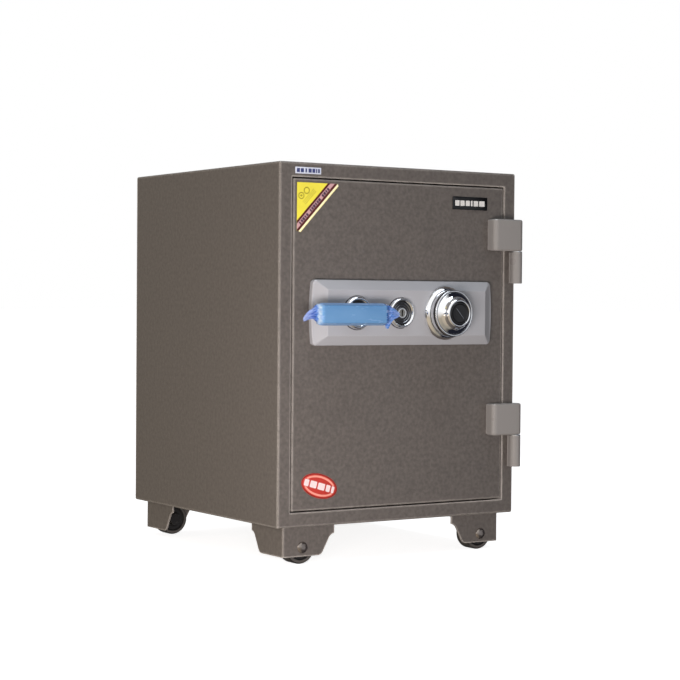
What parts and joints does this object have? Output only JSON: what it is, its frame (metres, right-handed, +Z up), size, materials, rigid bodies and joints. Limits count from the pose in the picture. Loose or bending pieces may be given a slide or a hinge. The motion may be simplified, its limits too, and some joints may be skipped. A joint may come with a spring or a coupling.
{
  "type": "office safe",
  "caption": "Upright fire-resistant safe on roller feet, with a hinged door carrying a lever, a key lock, a combination dial and boltwork, and a shelf and drawer inside.",
  "frame": {"origin": "on the floor, under the middle of the whole safe's box, hinges, lever and film included", "axes": "+X to the right seen from the front, +Y from the door towards the back, +Z up"},
  "size_m": [0.453, 0.5286, 0.61],
  "materials": {
    "body_paint": "fine textured grey-brown powder coat, satin",
    "liner_paint": "smooth light grey-beige paint, satin",
    "hinge_paint": "smooth light warm grey paint, semi-gloss",
    "plate_paint": "silver-grey metallic paint, semi-gloss",
    "chrome": "bright chrome plate",
    "steel": "zinc-plated, satin",
    "brass": "machined, satin",
    "black_plastic": "gloss black",
    "roller_iron": "black oxide, worn on the tread",
    "seal_rubber": "matt black",
    "mineral_fill": "cast foamed concrete, matt",
    "blue_film": "thin clear blue protective film, crumpled",
    "white_label": "coated white label, satin",
    "yellow_label": "yellow vinyl film, semi-gloss",
    "red_label": "red vinyl film, gloss"
  },
  "bodies": {
    "safe_body": {"body_shell": "body_paint", "back_panel": "body_paint", "door_frame": "body_paint", "inner_liner": "liner_paint", "body_insulation": "mineral_fill", "shelf": "liner_paint", "model_label": "white_label", "hinge_barrel_upper": "hinge_paint", "hinge_pin_upper": "steel", "hinge_barrel_lower": "hinge_paint", "hinge_pin_lower": "steel", "foot_bracket_front_left": "body_paint", "axle_bolt_front_left": "body_paint", "foot_bracket_front_right": "body_paint", "axle_bolt_front_right": "body_paint", "foot_bracket_rear_left": "body_paint", "axle_bolt_rear_left": "body_paint", "foot_bracket_rear_right": "body_paint", "axle_bolt_rear_right": "body_paint"},
    "door": {"door_skin": "body_paint", "door_liner": "body_paint", "door_insulation": "mineral_fill", "door_cover": "liner_paint", "door_seal": "seal_rubber", "lockwork_plate": "steel", "lock_plate": "plate_paint", "hinge_leaf_upper": "hinge_paint", "hinge_leaf_lower": "hinge_paint", "nameplate": "black_plastic", "corner_sticker": "yellow_label", "oval_sticker": "red_label", "lever_rose": "chrome", "key_rose": "chrome", "key_cylinder": "steel", "dial_flange": "chrome", "lock_case": "steel", "dead_bolt_1": "steel", "dead_bolt_2": "steel"},
    "lever": {"lever_grip": "chrome", "lever_spindle": "steel", "lever_film": "blue_film"},
    "boltwork": {"bolt_carriage": "steel", "live_bolt_1": "steel", "live_bolt_2": "steel", "live_bolt_3": "steel"},
    "key_turner": {"key_plug": "brass"},
    "dial": {"dial_knob": "chrome", "dial_cap": "black_plastic", "dial_spindle": "steel"},
    "wheel_1": {"pack_wheel_1": "brass"},
    "wheel_2": {"pack_wheel_2": "brass"},
    "wheel_3": {"pack_wheel_3": "brass"},
    "combination_bolt": {"lock_bolt": "brass"},
    "drawer": {"drawer_tray": "liner_paint", "drawer_pull": "chrome", "drawer_lock": "steel"},
    "roller_front_left_body": {"roller_front_left": "roller_iron"},
    "roller_front_right_body": {"roller_front_right": "roller_iron"},
    "roller_rear_left_body": {"roller_rear_left": "roller_iron"},
    "roller_rear_right_body": {"roller_rear_right": "roller_iron"}
  },
  "joints": [
    {"name": "door_hinge", "type": "hinge", "parent": "safe_body", "child": "door", "pos_m": [0.217, -0.21365, 0.3345], "axis": [0, 0, 1], "range_deg": [0, 120]},
    {"name": "lever_turn", "type": "hinge", "parent": "door", "child": "lever", "pos_m": [-0.0995, -0.23365, 0.3835], "axis": [0, -1, 0], "range_deg": [0, 60]},
    {"name": "boltwork_slide", "type": "slide", "parent": "door", "child": "boltwork", "axis": [-1, 0, 0], "range_m": [0, 0.026]},
    {"name": "key_turn", "type": "hinge", "parent": "door", "child": "key_turner", "pos_m": [-0.0185, -0.21365, 0.3835], "axis": [0, 1, 0], "range_deg": [0, 90]},
    {"name": "dial_turn", "type": "hinge", "parent": "door", "child": "dial", "pos_m": [0.0675, -0.23365, 0.3835], "axis": [0, -1, 0], "continuous": true},
    {"name": "wheel_1_turn", "type": "hinge", "parent": "door", "child": "wheel_1", "pos_m": [0.0675, -0.15165, 0.3835], "axis": [0, -1, 0], "continuous": true},
    {"name": "wheel_2_turn", "type": "hinge", "parent": "door", "child": "wheel_2", "pos_m": [0.0675, -0.14565, 0.3835], "axis": [0, -1, 0], "continuous": true},
    {"name": "wheel_3_turn", "type": "hinge", "parent": "door", "child": "wheel_3", "pos_m": [0.0675, -0.13965, 0.3835], "axis": [0, -1, 0], "continuous": true},
    {"name": "combination_bolt_slide", "type": "slide", "parent": "door", "child": "combination_bolt", "axis": [0, 0, 1], "range_m": [0, 0.01]},
    {"name": "drawer_slide", "type": "slide", "parent": "safe_body", "child": "drawer", "axis": [0, -1, 0], "range_m": [0, 0.19]},
    {"name": "roller_front_left_spin", "type": "hinge", "parent": "safe_body", "child": "roller_front_left_body", "pos_m": [-0.1725, -0.17065, 0.026], "axis": [0, 1, 0], "continuous": true},
    {"name": "roller_front_right_spin", "type": "hinge", "parent": "safe_body", "child": "roller_front_right_body", "pos_m": [0.1675, -0.17065, 0.026], "axis": [0, 1, 0], "continuous": true},
    {"name": "roller_rear_left_spin", "type": "hinge", "parent": "safe_body", "child": "roller_rear_left_body", "pos_m": [-0.1725, 0.24035, 0.026], "axis": [0, 1, 0], "continuous": true},
    {"name": "roller_rear_right_spin", "type": "hinge", "parent": "safe_body", "child": "roller_rear_right_body", "pos_m": [0.1675, 0.24035, 0.026], "axis": [0, 1, 0], "continuous": true}
  ],
  "couplings": [
    {"joint": "boltwork_slide", "follows": "lever_turn", "m_per_rad": 0.024828},
    {"joint": "wheel_1_turn", "follows": "dial_turn", "ratio": 1},
    {"joint": "wheel_2_turn", "follows": "dial_turn", "ratio": 1},
    {"joint": "wheel_3_turn", "follows": "dial_turn", "ratio": 1},
    {"joint": "drawer_slide", "follows": "door_hinge", "m_per_rad": 0.090718}
  ]
}
